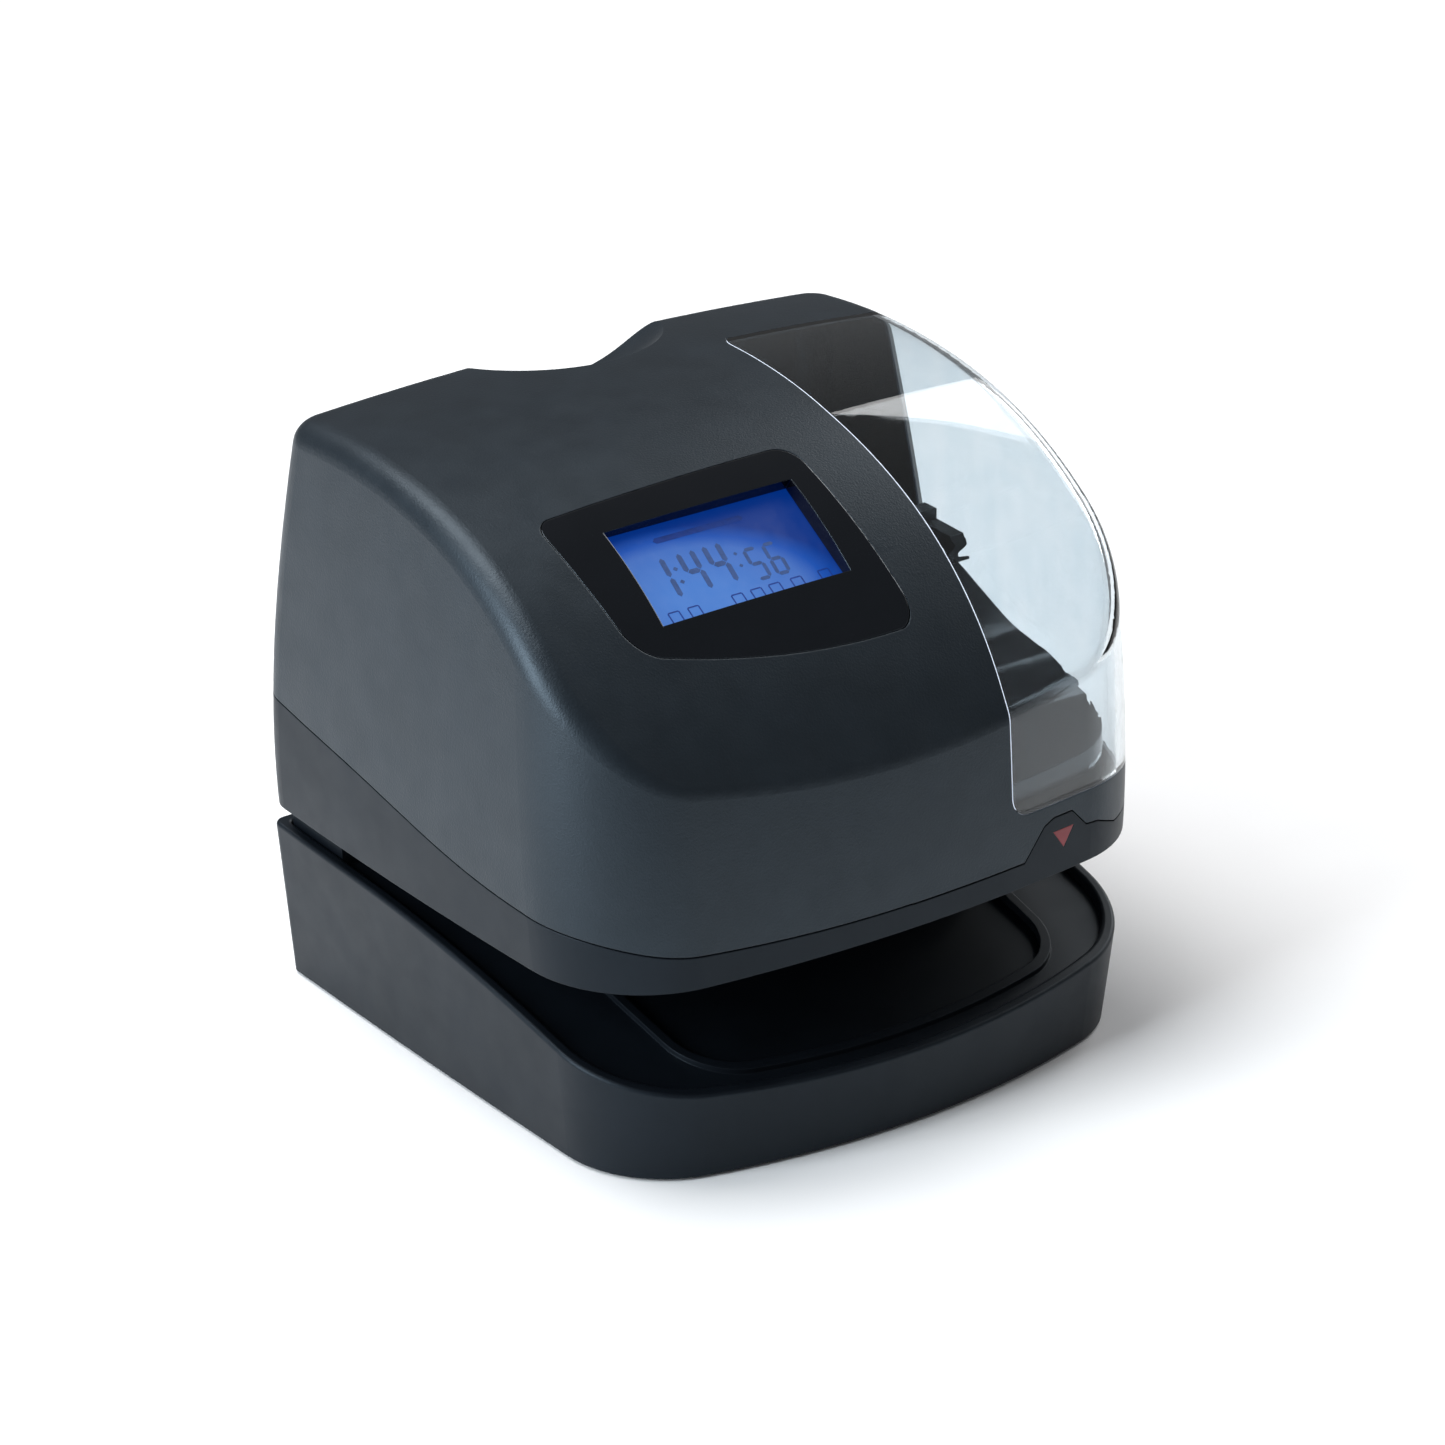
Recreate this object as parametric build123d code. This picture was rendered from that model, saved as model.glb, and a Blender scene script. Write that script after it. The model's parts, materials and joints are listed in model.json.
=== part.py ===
"""Desktop punch time clock: a base with a sloping card tray, a neck, and a head that holds the printer.

Millimetres, +Z up, the operator's side at -Y. The origin is on the table, under the middle of the casing.
"""

from build123d import *
from math import cos, pi, sin
import os

# ---------------------------------------------------------------- driving dimensions
WALL = 2.5
SEAM_GAP = 0.35
PANEL_GAP = 0.2
RUNNING_FIT = 0.05

# Base moulding
BASE_MIDDLE_X = 1.4
BASE_HALF_WIDTH = 74.2
BASE_REAR = 75.6
BASE_FRONT = -72.0
BASE_CORNER = 26.5
BASE_REAR_CORNER = 3.0
BASE_DRAFT = 5.8
BASE_LIFT = 0.8
RIM_WIDTH = 3.0
RIM_ROUNDING = 0.9
TRAY_DEPTH = 2.4
RIDGE_HEIGHT = 1.3
RIM_CURVE = [(80, 41.3), (45, 40.0), (20, 38.6), (0, 36.2), (-20, 32.8), (-40, 28.4), (-58, 24.2), (-80, 18.0)]

# Head casing: height, half width, rear, front and middle x of each plan section
HEAD_BOTTOM = 48.8
HEAD_SECTIONS = [
    (HEAD_BOTTOM, 80.9, 73.0, -70.7, 0.0),
    (77.0, 82.1, 72.0, -68.6, 0.0),
    (112.0, 80.8, 70.0, -64.4, 0.6),
    (152.0, 77.0, 66.9, -59.2, 1.6),
]
HEAD_CORNER = 30.0
HEAD_REAR_CORNER = 9.0
HEAD_FLOOR_TOP = HEAD_BOTTOM + WALL
CREASE = 6.5
CROWN_RADIUS = 900.0
TOP_CURVE = [(80, 144.6), (45, 148.6), (20, 147.4), (0, 143.4), (-18, 136.4), (-34, 126.4), (-48, 113.8),
             (-58, 102.5), (-66, 91.0), (-76, 75.0)]
SEAM_CURVE = [(80, 79.6), (53, 75.3), (27, 71.4), (1, 66.4), (-24, 62.8), (-45, 61.4), (-60, 58.8), (-71, 54.2),
              (-80, 50.4)]
RIGHT_SEAM_CURVE = [(80, 79.6), (66, 76.4), (48, 68.6), (28, 61.4), (5, 57.0), (-30, 54.9), (-70, 54.4), (-80, 54.2)]

# Rear thumb scoop, a ball-shaped dish in the top rear edge
SCOOP_RADIUS = 44.7
SCOOP_CENTRE = (0.0, 75.4, 180.4)

# Clear side cover
WINDOW_LEFT = 29.0
WINDOW_REAR = 43.0
WINDOW_BOTTOM = 66.0
CLEAR_WALL = 2.0

# Display
DISPLAY_CENTRE = (-19.4, -25.6, 127.0)
DISPLAY_TILT = 32.0
LCD_SIZE = (49.6, 25.2)
BEZEL_THICKNESS = 1.6

# Printer, in the right half of the head
FLOOR = HEAD_FLOOR_TOP
CHASSIS_Z = 54.3
CHASSIS_THICKNESS = 1.2
CHASSIS_TOP = CHASSIS_Z + CHASSIS_THICKNESS
FRONT_SHAFT = (-6.0, 66.0, 2.5)
REAR_SHAFT = (13.0, 66.0, 2.0)
PLATE_LEFT = 8.0
PLATE_RIGHT = 72.5
PLATE_THICKNESS = 1.5
BELT_Y = 22.0
BELT_Z = 78.0
BELT_RADIUS = 4.5
BELT_THICKNESS = 1.0
BELT_WIDTH = 4.0
PULLEY_LEFT = 18.0
PULLEY_RIGHT = 64.0

# Ribbon cassette
CASSETTE = ((22.0, 66.0), (-41.0, -17.0), (57.0, 68.0))
ROLLER_RADIUS = 4.8
ROLLER_GAP = 0.5
ROLLER_X = 30.0
ROLLER_Y = -29.0

# Key lock in the rear wall
LOCK_Z = 112.0
LOCK_RADIUS = 6.0

# Card parts
CARD_TABLE_TOP = 45.0
CARD_SHELF_TOP = 39.6
LEVER_PIVOT = (21.0, 55.0)


# ---------------------------------------------------------------- small helpers
def block(x, y, z):
    """A box between two values on each axis."""
    size = (x[1] - x[0], y[1] - y[0], z[1] - z[0])
    middle = ((x[0] + x[1]) / 2, (y[0] + y[1]) / 2, (z[0] + z[1]) / 2)
    return Pos(*middle) * Box(*size)


def rod(radius, start, length, axis="z"):
    """A cylinder from a start point along +X, +Y or +Z."""
    turn = {"x": Rot(0, 90, 0), "y": Rot(-90, 0, 0), "z": Rot(0, 0, 0)}[axis]
    upright = Cylinder(radius, length, align=(Align.CENTER, Align.CENTER, Align.MIN))
    return Pos(*start) * turn * upright


def soft_block(x, y, z, radius):
    """A box with rounded upright edges."""
    solid = block(x, y, z)
    return fillet(solid.edges().filter_by(Axis.Z), radius)


def plan_outline(half_width, rear, front, corner, rear_corner, side_bow, front_bow):
    """A casing outline: bowed sides and front, large front corners, small rear corners."""
    edge_x = half_width - side_bow
    corner_y = front + front_bow
    middle_y = (rear + corner_y) / 2
    ring = [
        ThreePointArc((-edge_x, rear), (-half_width, middle_y), (-edge_x, corner_y)),
        ThreePointArc((-edge_x, corner_y), (0, front), (edge_x, corner_y)),
        ThreePointArc((edge_x, corner_y), (half_width, middle_y), (edge_x, rear)),
        Line((edge_x, rear), (-edge_x, rear)),
    ]
    face = make_face(ring)
    face = fillet(face.vertices().sort_by(Axis.Y)[:2], corner)
    return fillet(face.vertices().sort_by(Axis.Y)[-2:], rear_corner)


def side_face(curve, bottom, shift=(0.0, 0.0)):
    """The area in the YZ plane from a height up to a smooth curve of (y, z) points."""
    points = [(0, y + shift[0], z + shift[1]) for y, z in curve]
    top = Spline(points)
    rear = (0, points[0][1], bottom)
    front = (0, points[-1][1], bottom)
    return make_face([top, Polyline([points[-1], front, rear, points[0]])])


def under_curve(curve, bottom=-20.0, lower=0.0):
    """Everything below a side curve, across the full width."""
    return extrude(Pos(-120, 0, 0) * side_face(curve, bottom, (0.0, -lower)), 240, dir=(1, 0, 0))


def yz_prism(points, x):
    """A prism with a polygon of (y, z) points as its section, from x[0] to x[1]."""
    face = make_face(Polyline([(x[0], y, z) for y, z in points], close=True))
    return extrude(face, x[1] - x[0], dir=(1, 0, 0))


def mirrored_x(values):
    return [(-x, y) for x, y in values] + list(values)


def main_solid(shape):
    """The largest solid of a shape, without the crumbs that a cut can leave."""
    return max(shape.solids(), key=lambda solid: solid.volume)


# ---------------------------------------------------------------- base
def base_outline(inset):
    """The base seen from above, run on past its rear wall."""
    face = plan_outline(
        BASE_HALF_WIDTH - inset, BASE_REAR + 12.0, BASE_FRONT + inset, BASE_CORNER - inset, 2.0, 0.8, 13.5,
    )
    return Pos(BASE_MIDDLE_X, 0, 0) * face


def base_prism(inset, bottom=0.0, top=50.0):
    """The base's form, wider at the top on three sides, with an upright rear."""
    face = Pos(0, 0, bottom) * base_outline(inset - bottom * sin(BASE_DRAFT * pi / 180))
    body = extrude(face, top - bottom, taper=-BASE_DRAFT)
    rear = BASE_REAR - inset
    body &= block((-120, 120), (-120, rear), (bottom - 1, top + 1))
    on_rear = body.edges().filter_by(lambda edge: abs(edge.center().Y - rear) < 0.01)
    upright = on_rear.filter_by(lambda edge: edge.bounding_box().size.Z > 0.9 * (top - bottom))
    return fillet(upright, BASE_REAR_CORNER - 0.5 * min(inset, 4))


SCREW_PLACES = mirrored_x([(58.0, 58.0), (52.0, -46.0)])
FOOT_PLACES = mirrored_x([(62.0, 46.0), (40.0, -54.0)])
BRACKET_SLOT = block((-39, 39), (53.4, 57.1), (0, 80))


def ridge_outline(inset):
    face = plan_outline(54.5 - inset, 38.0 - inset, -66.5 + inset, 17.0 - inset, 6.0, 1.5, 7.0)
    return Pos(2.5, 0, 0) * face


def make_base_shell():
    body = base_prism(0, BASE_LIFT) & under_curve(RIM_CURVE)
    body -= base_prism(RIM_WIDTH, 5.0) - under_curve(RIM_CURVE, lower=TRAY_DEPTH)
    upward = body.faces().filter_by(lambda f: f.normal_at(f.center()).Z > 0.5)
    body = fillet(upward.sort_by(SortBy.AREA)[0].edges(), RIM_ROUNDING)
    ridge_band = extrude(ridge_outline(0), 60) - extrude(ridge_outline(2.2), 60)
    ridge = ridge_band & under_curve(RIM_CURVE, lower=TRAY_DEPTH - RIDGE_HEIGHT)
    ridge -= under_curve(RIM_CURVE, lower=TRAY_DEPTH + 0.5)
    body += ridge
    well = extrude(ridge_outline(2.2), 60) - under_curve(RIM_CURVE, lower=TRAY_DEPTH + 0.8)
    body -= well
    cavity = base_prism(WALL, -1.0) & under_curve(RIM_CURVE, lower=TRAY_DEPTH + 0.8 + WALL)
    for x, y in SCREW_PLACES:
        cavity -= rod(4.0, (x, y, 2.4), 60)
    body -= cavity
    for x, y in SCREW_PLACES:
        body -= rod(1.55, (x, y, 0), 12)
    return body - BRACKET_SLOT


def make_base_plate():
    inset = WALL + 0.8
    plate = extrude(Pos(0, 0, 1.2) * base_outline(inset), 1.2)
    plate &= block((-120, 120), (-120, BASE_REAR - inset), (0, 5))
    for x, y in SCREW_PLACES:
        plate -= rod(1.6, (x, y, 0), 5)
    return plate


def make_rubber_feet():
    feet = []
    for x, y in FOOT_PLACES:
        disc = rod(6.5, (x, y, 0), 1.2)
        feet.append(fillet(disc.edges().sort_by(Axis.Z)[0], 0.4))
    return feet


def make_base_screws():
    return [rod(1.5, (x, y, 0.4), 9.5) + rod(2.9, (x, y, 0.4), 0.8) for x, y in SCREW_PLACES]


def make_card_table():
    """A ramp that lifts the card from the tray to the print gap, with a low shelf behind it."""
    outline = [(-31, 20), (-31, 33.2), (-9, CARD_TABLE_TOP), (17, CARD_TABLE_TOP), (19, CARD_SHELF_TOP),
               (35, CARD_SHELF_TOP), (35, 20)]
    table = yz_prism(outline, (20, 52))
    table -= under_curve(RIM_CURVE, lower=TRAY_DEPTH + 0.8)
    pad_pocket = block((23.9, 50), (-4.1, 8.1), (CARD_TABLE_TOP - 0.8, 50))
    return table - pad_pocket


def make_platen_pad():
    pad = block((24, 49.9), (-4, 8), (CARD_TABLE_TOP - 0.8, CARD_TABLE_TOP + 1.2))
    top = pad.faces().sort_by(Axis.Z)[-1]
    return fillet(top.edges(), 0.6)


def make_card_stop():
    low = CARD_SHELF_TOP + 0.3
    foot = block((24, 41), (22, 29), (low, low + 1.5))
    fence = block((24, 41), (22, 24), (low, HEAD_BOTTOM - 0.6))
    grip = block((30, 36), (26, 29), (low, low + 4.2))
    return foot + fence + grip


# ---------------------------------------------------------------- neck
def make_neck_column():
    front, rear = 49.5, 71.0
    inset = RIM_WIDTH + 0.3
    outer = base_prism(inset, 5.0, HEAD_BOTTOM) & block((-90, 90), (front, rear), (30, HEAD_BOTTOM))
    inner = base_prism(inset + WALL, 5.0) & block((-90, 90), (front + WALL, rear - WALL), (20, 60))
    return outer - inner - under_curve(RIM_CURVE, lower=TRAY_DEPTH)


def make_neck_bracket():
    web = block((-38, 38), (54, 56), (2.6, CHASSIS_Z))
    foot = block((-38, 38), (45, 56), (2.6, 4.6))
    head = block((-38, 38), (40, 56), (CHASSIS_Z - 2, CHASSIS_Z))
    return web + foot + head


# ---------------------------------------------------------------- head casing
def head_sides(inset):
    sections = []
    for z, half_width, rear, front, middle_x in HEAD_SECTIONS:
        face = plan_outline(
            half_width - inset, rear - inset, front + inset, HEAD_CORNER - inset,
            HEAD_REAR_CORNER - 0.8 * inset, 1.6, 8.0,
        )
        sections.append(Pos(middle_x, 0, z) * face)
    return loft(sections)


def crowned_top(shift):
    """Everything under the top curve, bent a little so that the middle stands higher than the sides."""
    axis = Axis((0, 0, 148.0 - CROWN_RADIUS), (0, 1, 0))
    face = side_face(TOP_CURVE, 20.0, shift)
    return revolve(face, axis, 16).rotate(axis, -8)


def head_body(inset):
    """The head's outer form for an inset of 0, and the form of its skin's inside for larger ones."""
    body = head_sides(inset) & crowned_top((0.36 * inset, -1.04 * inset))
    top = body.faces().filter_by(lambda f: f.center().Z > 100).sort_by(SortBy.AREA)[-1]
    return fillet(top.edges(), max(CREASE - inset, 1.0))


OUTER = head_body(0)
INNER = head_body(WALL)


def seam_region(raise_by=0.0):
    """The part of the head that belongs to the lower skirt, with the raised tab under the clear cover."""
    left = under_curve(SEAM_CURVE, 20.0, lower=-raise_by) & block((-200, 0), (-200, 200), (0, 200))
    right = under_curve(RIGHT_SEAM_CURVE, 20.0, lower=-raise_by) & block((0, 200), (-200, 200), (0, 200))
    region = left + right
    tab_points = [(28, 40), (32.5, 53.6), (39.6, 61.4), (42.6, 62.6), (48.6, 62.6), (53.2, 57.8), (57, 57.4),
                  (64, 54.5), (66, 40)]
    tab = make_face(Polyline([(x, -90, z + raise_by) for x, z in tab_points], close=True))
    corners = tab.vertices().filter_by(lambda v: v.Z > 57.0 + raise_by)
    tab = fillet(corners, 1.2)
    return region + extrude(tab, 40, dir=(0, 1, 0))


def window_cutter(shrink):
    """The space that the clear side cover fills. A positive shrink leaves a gap all round."""
    left = [(WINDOW_LEFT + shrink, WINDOW_REAR - shrink), (WINDOW_LEFT + shrink, 0.0)]
    sweep = [(0.0, 0.0), (2.2, -32.0), (2.7, -50.0), (0.6, -70.0), (-1.5, -90.0)]
    edge = Spline([(WINDOW_LEFT + shift + shrink, y) for shift, y in sweep])
    sweep_end = (WINDOW_LEFT + sweep[-1][0] + shrink, sweep[-1][1])
    rest = Polyline([sweep_end, (120, -90), (120, WINDOW_REAR - shrink), left[0], left[1]])
    plan = make_face([edge, rest])
    plan = fillet(plan.vertices().sort_by_distance((*left[0], 0))[0], 6.0 - shrink)
    upright = extrude(plan, 200)
    low = WINDOW_BOTTOM + shrink
    side_points = [(-100, low), (-66, low), (-46, low - 3.0), (22.0 - shrink, low - 1.8),
                   (WINDOW_REAR + 1.0 - shrink, 160), (-100, 160)]
    side = make_face(Polyline([(0, y, z) for y, z in side_points], close=True))
    side = fillet(side.vertices().sort_by_distance((0, *side_points[3]))[0], 8.0 - shrink)
    cutter = upright & extrude(Pos(-10, 0, 0) * side, 130, dir=(1, 0, 0))
    rounding = 5.0 - shrink
    edge_x = WINDOW_LEFT + 0.9 + shrink
    corner = block((edge_x - 5, edge_x + rounding), (-90, -50), (low - 5, low + rounding))
    return cutter - (corner - rod(rounding, (edge_x + rounding, -100, low + rounding), 60, "y"))


def bezel_outline(grow):
    """Plan view of the display panel: slanted sides, a front edge bowed like the casing, rounded corners."""
    front_left = (-54.5 - grow, -41.6 - grow)
    front_right = (17.2 + grow, -50.2 - grow)
    rear_right = (12.4 + grow, -7.0 + grow)
    rear_left = (-58.2 - grow, -7.9 + grow)
    ring = [
        ThreePointArc(front_left, (-21.0, -48.8 - grow), front_right),
        ThreePointArc(front_right, (14.0 + grow, -28.0), rear_right),
        Line(rear_right, rear_left),
        ThreePointArc(rear_left, (-57.0 - grow, -26.0), front_left),
    ]
    face = make_face(ring)
    rounding = {front_left: 10.0, front_right: 5.0, rear_right: 6.0, rear_left: 4.0}
    for corner, radius in rounding.items():
        nearest = face.vertices().sort_by_distance((*corner, 0))[0]
        face = fillet(nearest, radius)
    return face


def bezel_prism(grow):
    return Pos(0, 0, 90) * extrude(bezel_outline(grow), 80)


def display_frame():
    """A place on the display's plane, with x to the right and y up the slope."""
    return Pos(*DISPLAY_CENTRE) * Rot(DISPLAY_TILT, 0, 0)


def display_block(width, depth, low, high):
    place = Pos(0, 0, (low + high) / 2)
    return display_frame() * place * Box(width, depth, high - low)


def scoop(grow):
    return Pos(*SCOOP_CENTRE) * Sphere(SCOOP_RADIUS + grow)


def make_upper_cover():
    shell = OUTER - INNER
    shell += OUTER & scoop(WALL)
    shell -= scoop(0)
    shell -= seam_region(SEAM_GAP)
    shell -= window_cutter(0)
    bezel_bed = bezel_prism(0) - head_body(BEZEL_THICKNESS + 0.1)
    shell -= bezel_bed
    shell -= display_block(LCD_SIZE[0] + 5, LCD_SIZE[1] + 5, -12, 20)
    shell -= display_block(LCD_SIZE[0] + 10, LCD_SIZE[1] + 10, -9, 0.2)
    shell -= rod(8.2, (0, 60, LOCK_Z), 15, "y")
    return main_solid(shell)


def make_clear_side_cover():
    skin = OUTER - head_body(CLEAR_WALL)
    piece = skin & window_cutter(PANEL_GAP)
    return main_solid(piece)


def make_display_bezel():
    panel = OUTER - head_body(BEZEL_THICKNESS)
    panel &= bezel_prism(-PANEL_GAP)
    opening = display_block(LCD_SIZE[0] + 1.4, LCD_SIZE[1] + 1.4, -4, 20)
    panel = main_solid(panel)
    wall = display_block(LCD_SIZE[0] + 4.4, LCD_SIZE[1] + 4.4, 0.3, 20) & head_body(BEZEL_THICKNESS - 0.05)
    return panel + wall - opening


def make_lower_skirt():
    shell = (OUTER - INNER) & seam_region(0)
    floor = OUTER & block((-90, 90), (-80, 80), (HEAD_BOTTOM, FLOOR))
    skirt = shell + floor
    for x, y in CHASSIS_BOSSES:
        skirt += rod(4.0, (x, y, FLOOR - 0.5), CHASSIS_Z - FLOOR + 0.5)
        skirt -= rod(1.55, (x, y, FLOOR), 20)
    skirt -= block((14, 70), (-5, 9), (40, 60))
    skirt -= block((42.3, 47.7), (14.5, 33), (40, 60))
    skirt -= BRACKET_SLOT
    skirt -= block((-57.2, -42.8), (64, 80), (53.8, 66.2))
    return skirt - make_position_mark()


def make_position_mark():
    """A small triangle let into the front of the tab. It points at the print line."""
    tip, width, top = (45.7, 54.8), 6.6, 59.3
    points = [(tip[0] - width / 2, top), (tip[0] + width / 2, top), tip]
    face = make_face(Polyline([(x, -90, z) for x, z in points], close=True))
    return extrude(face, 40, dir=(0, 1, 0)) & (OUTER - head_body(0.5))


# ---------------------------------------------------------------- head frame
CHASSIS_BOSSES = mirrored_x([(68.0, -26.0), (68.0, 44.0)]) + [(-10.0, -50.0)]


def make_chassis_plate():
    plate = soft_block((-73, 75), (-54, 48), (CHASSIS_Z, CHASSIS_TOP), 8)
    plate -= block((12, 71), (-14, 34), (50, 60))
    plate &= head_sides(WALL + 1.5)
    for x, y in CHASSIS_BOSSES:
        plate -= rod(1.6, (x, y, 50), 10)
    return plate


def make_chassis_screws():
    screws = []
    for x, y in CHASSIS_BOSSES:
        screws.append(rod(1.5, (x, y, CHASSIS_TOP - 4), 4) + rod(2.8, (x, y, CHASSIS_TOP), 1.4))
    return screws


def make_lock_keeper():
    post = block((12, 24), (52.6, 54.2), (CHASSIS_TOP - 1.2, 117))
    lip = block((12, 24), (45.5, 54.2), (115.6, 117))
    foot = block((12, 24), (48.2, 54.2), (CHASSIS_Z, CHASSIS_TOP))
    return post + lip + foot


# ---------------------------------------------------------------- printer
def make_printer_frame():
    left = block((PLATE_LEFT, PLATE_LEFT + PLATE_THICKNESS), (-14, 36), (CHASSIS_TOP, 88))
    right = block((PLATE_RIGHT, PLATE_RIGHT + PLATE_THICKNESS), (-14, 36), (CHASSIS_TOP, 77))
    rear = block((PLATE_LEFT, PLATE_RIGHT + PLATE_THICKNESS), (34.5, 36), (CHASSIS_TOP, 90))
    frame = left + right + rear
    for y, z, radius in (FRONT_SHAFT, REAR_SHAFT):
        frame -= rod(radius, (0, y, z), 90, "x")
    frame -= rod(3.0, (PULLEY_LEFT, 30, BELT_Z), 10, "y")
    frame -= rod(1.5, (PULLEY_RIGHT, 30, BELT_Z), 10, "y")
    return frame


def make_guide_shafts():
    length = PLATE_RIGHT + PLATE_THICKNESS - PLATE_LEFT
    return [rod(radius, (PLATE_LEFT, y, z), length, "x") for y, z, radius in (FRONT_SHAFT, REAR_SHAFT)]


def make_print_carriage():
    body = block((31, 59), (-11, 18), (60.5, 71.5))
    clamp = block((40, 50), (17, BELT_Y + 3), (67.5, 71.5))
    body += clamp
    for y, z, radius in (FRONT_SHAFT, REAR_SHAFT):
        body -= rod(radius + RUNNING_FIT, (0, y, z), 90, "x")
    return body


def make_print_head():
    block_body = block((37, 53), (-3.4, 7.4), (52.5, 60.5))
    nose = block((41, 49), (-0.5, 4.5), (49.8, 52.5))
    head = block_body + nose
    for step in range(5):
        x = 37.6 + 3.1 * step
        head += block((x, x + 1.2), (-3.4, 7.4), (71.5, 74.5))
    return head + block((37, 53), (-3.4, 7.4), (71.5, 72.2))


def make_drive_belt():
    """A loop round the two pulleys."""
    spread = PULLEY_RIGHT - PULLEY_LEFT
    place = Pos((PULLEY_LEFT + PULLEY_RIGHT) / 2, BELT_Y, BELT_Z) * Rot(90, 0, 0)
    outer = SlotCenterToCenter(spread, 2 * (BELT_RADIUS + BELT_THICKNESS))
    inner = SlotCenterToCenter(spread, 2 * BELT_RADIUS)
    return place * extrude(outer - inner, BELT_WIDTH / 2, both=True)


def make_pulley(x, bore):
    """A flanged pulley on an axis along Y, a little clear of the belt."""
    hub = rod(BELT_RADIUS - 0.3, (x, BELT_Y - 3.5, BELT_Z), 7, "y")
    for y in (BELT_Y - 3.5, BELT_Y + 2.5):
        hub += rod(BELT_RADIUS + 1.6, (x, y, BELT_Z), 1.0, "y")
    return hub - rod(bore, (x, 0, BELT_Z), 60, "y")


def make_motor_pulley():
    return make_pulley(PULLEY_LEFT, 1.5) + rod(1.5, (PULLEY_LEFT, BELT_Y - 3.5, BELT_Z), 19, "y")


def make_idler_pulley():
    return make_pulley(PULLEY_RIGHT, 1.5 + RUNNING_FIT)


def make_idler_pin():
    pin = rod(1.5, (PULLEY_RIGHT, BELT_Y - 5, BELT_Z), 19, "y")
    return pin + rod(2.6, (PULLEY_RIGHT, BELT_Y - 5, BELT_Z), 1.2, "y")


def make_carriage_motor():
    body = rod(11.5, (PULLEY_LEFT, 36, BELT_Z), 14, "y")
    body = fillet(body.edges().sort_by(Axis.Y)[-1], 1.0)
    flange = block((PULLEY_LEFT - 15, PULLEY_LEFT + 15), (36, 37.2), (BELT_Z - 9, BELT_Z + 9))
    return body + flange - rod(1.5 + RUNNING_FIT, (PULLEY_LEFT, 30, BELT_Z), 7.8, "y")


# ---------------------------------------------------------------- ribbon cassette
LID_CURVE = [(26, 97.0), (12, 91.0), (-4, 83.6), (-14, 80.6), (-24, 79.0), (-34, 75.0), (-46, 73.2), (-70, 70.6)]


def lid_form(inset):
    form = head_sides(5.0 + inset) & under_curve(LID_CURVE, 20.0, lower=inset)
    return form & block((21.5 + inset, 100), (-90, 11.5), (57.0, 120))


def make_cassette_lid():
    """The dark glossy shell over the ribbon, seen through the clear cover."""
    lid = lid_form(0) - lid_form(1.6) - block((10, 100), (-16, 20), (50, 76.0))
    lid -= block((10, 100), (-16, 20), (50, 90)) & under_curve(LID_CURVE, 20.0, lower=1.6)
    lid -= rod(6.0, (ROLLER_X, ROLLER_Y - half_roller_pitch(), 60), 60)
    return main_solid(lid)


def make_cassette_case():
    (x0, x1), (y0, y1), (z0, z1) = CASSETTE
    case = block((x0 + 1.8, x1), (y0, y1), (z0, z1))
    case -= block((x0 + 3.2, x1 - 1.4), (y0 + 1.4, y1 - 1.4), (z0 + 1.4, z1 + 5))
    for x in (x0 + 1.8, x1 - 4.0):
        case += block((x, x + 4.0), (y1 - 1.4, 5.0), (z0, z0 + 2.6))
    for y in (ROLLER_Y - half_roller_pitch(), ROLLER_Y + half_roller_pitch()):
        case += rod(1.5, (ROLLER_X, y, z0 + 1.4), 9.0)
    return case


def half_roller_pitch():
    return ROLLER_RADIUS + ROLLER_GAP / 2


def fluted_roller(y, top):
    """A roller with shallow flutes round it that grips the ribbon."""
    roller = rod(ROLLER_RADIUS, (ROLLER_X, y, 59.0), top - 59.0)
    flutes = 14
    for index in range(flutes):
        turn = 2 * pi * index / flutes
        x = ROLLER_X + ROLLER_RADIUS * cos(turn)
        roller -= rod(0.45, (x, y + ROLLER_RADIUS * sin(turn), 55.0), 30)
    return roller - rod(1.5 + RUNNING_FIT, (ROLLER_X, y, 50), 18)


def make_ribbon_knob():
    """The take-up roller and the winding knob on its top."""
    y = ROLLER_Y - half_roller_pitch()
    roller = fluted_roller(y, 68.5)
    stem = rod(2.0, (ROLLER_X, y, 68.5), 12.0)
    knob = rod(5.0, (ROLLER_X, y, 79.0), 4.5)
    for index in range(12):
        turn = 2 * pi * index / 12
        knob -= rod(0.6, (ROLLER_X + 5.0 * cos(turn), y + 5.0 * sin(turn), 75), 12)
    return roller + stem + knob


def make_pinch_roller():
    return fluted_roller(ROLLER_Y + half_roller_pitch(), 67.0)


def make_ribbon_band():
    """The inked ribbon, from one cassette arm to the other under the print head."""
    (x0, x1), (y0, y1), (z0, z1) = CASSETTE
    left, right = x0 + 2.6, x1 - 0.8
    run = block((left, right), (0, 4), (49.0, 49.2))
    for x in (left, right - 0.2):
        run += block((x, x + 0.2), (0, 4), (49.0, z0))
    return run


def make_cassette_latch():
    """A sprung hook on the printer frame that holds the cassette down."""
    post = block((57.0, 61.0), (34.5 - 4.0, 34.5), (80, 104))
    arm = yz_prism([(34.5, 99), (34.5, 105), (2, 109), (-10, 108.6), (-12.5, 103), (-9, 101.4), (-6, 104)], (57, 61))
    block_tip = block((55, 61), (0, 4.5), (106, 111.5))
    return post + arm + block_tip


# ---------------------------------------------------------------- display and boards
def make_lcd_panel():
    return display_block(LCD_SIZE[0] + 4.0, LCD_SIZE[1] + 4.0, -2.6, 0.0)


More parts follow.
